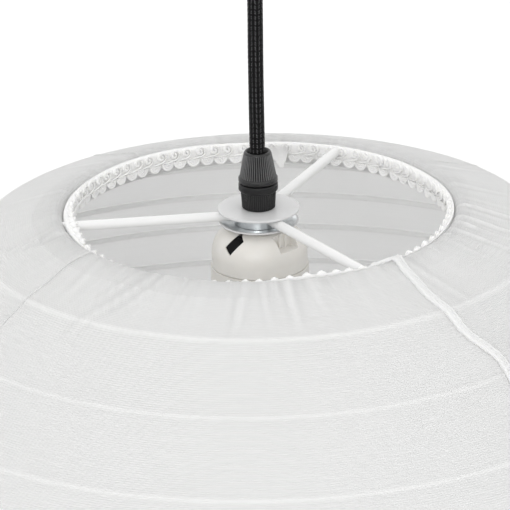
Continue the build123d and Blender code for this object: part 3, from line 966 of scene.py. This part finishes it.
def build_grip():
    low, high = box_mm("grip_nut")
    foot, top = low.z, high.z
    nut = [(5.4, foot), (7.7, foot), (7.95, foot + 0.4), (7.95, foot + 1.7), (7.45, foot + 2.2),
           (7.4, foot + 2.5), (5.6, top - 0.8), (5.1, top), (4.6, top), (3.6, top - 2.0),
           (3.5, top - 4.0), (5.0, top - 7.0)]
    piece("ribbed_nut", ribbed(nut, 46, 0.5, foot + 2.3, top - 0.9), "grip_nut",
          NUT_PLASTIC, ["grip_nut"], sharp=30.0)
    low, high = box_mm("grip_collar")
    foot, top = low.z, high.z
    collar = [(5.0, foot), (6.3, foot), (6.7, foot + 0.4), (7.1, top - 3.5), (7.15, top - 3.3),
              (7.95, top - 2.8), (7.95, top - 0.4), (7.6, top), (5.0, top)]
    piece("knurled_collar", ribbed(collar, 54, 0.24, foot + 0.5, top - 3.6), "ceiling",
          COLLAR_PLASTIC, ["grip_collar"], sharp=30.0)


# ---------------------------------------------------------------- catch of the lamp holder

def circle_centre(first, second, third):
    """Centre of the circle through three points of a plane."""
    towards_second = (second - first) / 2
    towards_third = (third - second) / 2
    across = Vector((-towards_second.y, towards_second.x))
    gap = first + towards_second - second - towards_third
    share = -gap.dot(towards_third) / across.dot(towards_third)
    return first + towards_second + across * share


def dome_line(rim, crown, inset, steps=12):
    """The holder cap's shoulder as (radius, height) points, set in by that much."""
    first = Vector((9.0, crown))
    middle = Vector((rim * 0.875, crown - 4.6))
    last = Vector((rim, crown - 13.0))
    centre = circle_centre(first, middle, last)
    start = angle_of(first - centre)
    end = angle_of(last - centre)
    return ring_arc(centre, (first - centre).length - inset, start, end, steps)


def build_catch():
    """Black catch that fills the slot in the cap's shoulder, a little below its surface."""
    _, high = box_mm("holder_cap")
    shoulder = dome_line(high.x, high.z, CATCH_INSET)
    bm = bmesh.new()
    outline = [(0.0, shoulder[-1].y), *[tuple(p) for p in reversed(shoulder)], (0.0, shoulder[0].y)]
    spin_outline(bm, outline, 120)
    settle(bm)
    spun = Matrix.Rotation(math.radians(CATCH_ANGLE), 4, "Z")
    seat = Matrix.Translation((CATCH_OUT, 0, high.z - CATCH_DOWN))
    place = spun @ seat @ Matrix.Rotation(math.radians(CATCH_LEAN), 4, "X")
    turn = place.to_3x3()
    for axis, reach in CATCH_SIDES:
        offset = Vector((0, 0, 0))
        offset[axis] = reach
        everything = bm.verts[:] + bm.edges[:] + bm.faces[:]
        cut = bmesh.ops.bisect_plane(bm, geom=everything, plane_co=place @ offset, plane_no=turn @ offset,
                                     clear_outer=True)
        edges = [part for part in cut["geom_cut"] if isinstance(part, bmesh.types.BMEdge)]
        if edges:
            bmesh.ops.edgeloop_fill(bm, edges=edges)
    settle(bm)
    piece("holder_catch", bm, "ceiling", CATCH_PLASTIC, sharp=30.0)


# ---------------------------------------------------------------- materials of the CAD pieces that stay

def finish_node(name, material):
    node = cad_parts[name]
    if not node.material_slots:
        node.data.materials.append(material)
    for each in node.material_slots:
        each.material = material


def finish_cad_nodes():
    finishes = {
        WIRE_PAINT: ["top_ring", "bottom_ring", "spider_arms"],
        TAPE_MATERIAL: ["top_binding", "bottom_binding"],
        BRASS: ["centre_contact", "side_contact", "thread_sleeve", "terminal_screws", "block_screws"],
        ZINC: ["spider_hub", "threaded_tube", "lock_nut", "anchor_screws", "ceiling_plate", "bush_screw"],
        BLACK_PLASTIC: ["grip_insert"],
        HOLDER_PLASTIC: ["holder_cap", "holder_skirt"],
        CERAMIC: ["holder_core"],
        WIRE_COVER: ["holder_wires"],
        BLOCK_PLASTIC: ["terminal_block", "anchor_block"],
        CUP_PLASTIC: ["ceiling_cup", "cup_bush"],
        YARN_MATERIAL: ["ceiling_leads"],
    }
    for material, names in finishes.items():
        for name in names:
            finish_node(name, material)
    for name in HOOPS:
        finish_node(name, HOOP_PAINT_LIT)


# ---------------------------------------------------------------- floor, light and camera

def build_floor():
    bm = bmesh.new()
    bmesh.ops.create_grid(bm, x_segments=1, y_segments=1, size=60.0)
    bmesh.ops.translate(bm, verts=bm.verts, vec=(0, 0, -2.2))
    mesh = bpy.data.meshes.new("floor")
    bm.to_mesh(mesh)
    bm.free()
    material, _, shader, _ = start_material("floor", 0.8)
    shader.inputs["Base Color"].default_value = colour(0.97, 0.97, 0.97)
    mesh.materials.append(material)
    floor = bpy.data.objects.new("floor", mesh)
    bpy.context.scene.collection.objects.link(floor)


def softbox(name, place, size, power):
    light = bpy.data.lights.new(name, "AREA")
    light.shape = "DISK"
    light.size = size
    light.energy = power
    lamp = bpy.data.objects.new(name, light)
    lamp.location = place
    lamp.rotation_mode = "QUATERNION"
    lamp.rotation_quaternion = (Vector(AIM) - Vector((0, 0, 0.15)) - Vector(place)).to_track_quat("-Z", "Y")
    bpy.context.scene.collection.objects.link(lamp)


def build_light():
    world = bpy.data.worlds.new("studio")
    world.use_nodes = True
    world.node_tree.nodes["Background"].inputs[0].default_value = colour(1.0, 1.0, 1.0)
    world.node_tree.nodes["Background"].inputs[1].default_value = 1.09
    bpy.context.scene.world = world
    bpy.context.scene.view_settings.view_transform = "Standard"
    softbox("key", (-0.5, -2.6, 0.85), 1.2, 19.6)
    softbox("fill", (2.0, -1.2, 0.9), 1.4, 1.5)
    softbox("back", (-0.6, 2.2, 1.2), 1.4, 3.0)


def build_camera():
    camera = bpy.data.cameras.new("camera")
    camera.lens = LENS
    camera.sensor_width = 36.0
    camera.clip_start = 0.05
    camera.clip_end = 200.0
    holder = bpy.data.objects.new("camera", camera)
    up = math.radians(CAMERA_HEIGHT_ANGLE)
    back = Vector((0.0, -math.cos(up), math.sin(up)))
    holder.location = Vector(AIM) + back * CAMERA_DISTANCE
    look = (-back).to_track_quat("-Z", "Y").to_matrix().to_4x4()
    roll = Matrix.Rotation(math.radians(-CAMERA_ROLL), 4, "Z")
    holder.rotation_mode = "QUATERNION"
    holder.rotation_quaternion = (look @ roll).to_quaternion()
    bpy.context.scene.collection.objects.link(holder)
    bpy.context.scene.camera = holder


build_camera()
build_cord()
build_cloth()
build_gimp("top_scroll_braid", "top_gimp", "shade", False)
build_gimp("bottom_scroll_braid", "bottom_gimp", "bottom", True)
build_discs()
build_grip()
build_catch()
finish_cad_nodes()
build_floor()
build_light()
